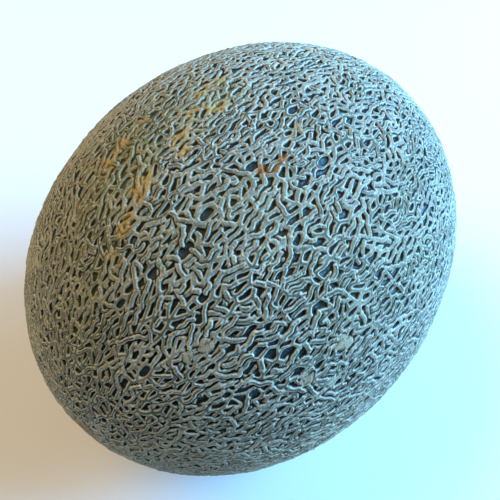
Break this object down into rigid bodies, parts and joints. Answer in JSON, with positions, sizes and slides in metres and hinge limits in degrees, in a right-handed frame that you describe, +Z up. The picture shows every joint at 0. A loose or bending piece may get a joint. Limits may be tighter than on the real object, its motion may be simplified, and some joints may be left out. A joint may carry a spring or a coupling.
{
  "type": "cantaloupe melon",
  "caption": "Whole netted melon lying on its side: an oval fruit with a raised corky net over green skin, scars at both ends and a small flat ground spot.",
  "frame": {"origin": "middle of the fruit's box at the resting plane, so the ground spot lies at z = 0", "axes": "+X along the stem axis towards the stem scar, -X towards the blossom end, +Z up from the resting plane, Y across the fruit"},
  "size_m": [0.182, 0.146, 0.141],
  "materials": {
    "netted_rind": "dry corky net over satin green skin"
  },
  "bodies": {
    "root": {"melon": "netted_rind"}
  },
  "joints": []
}
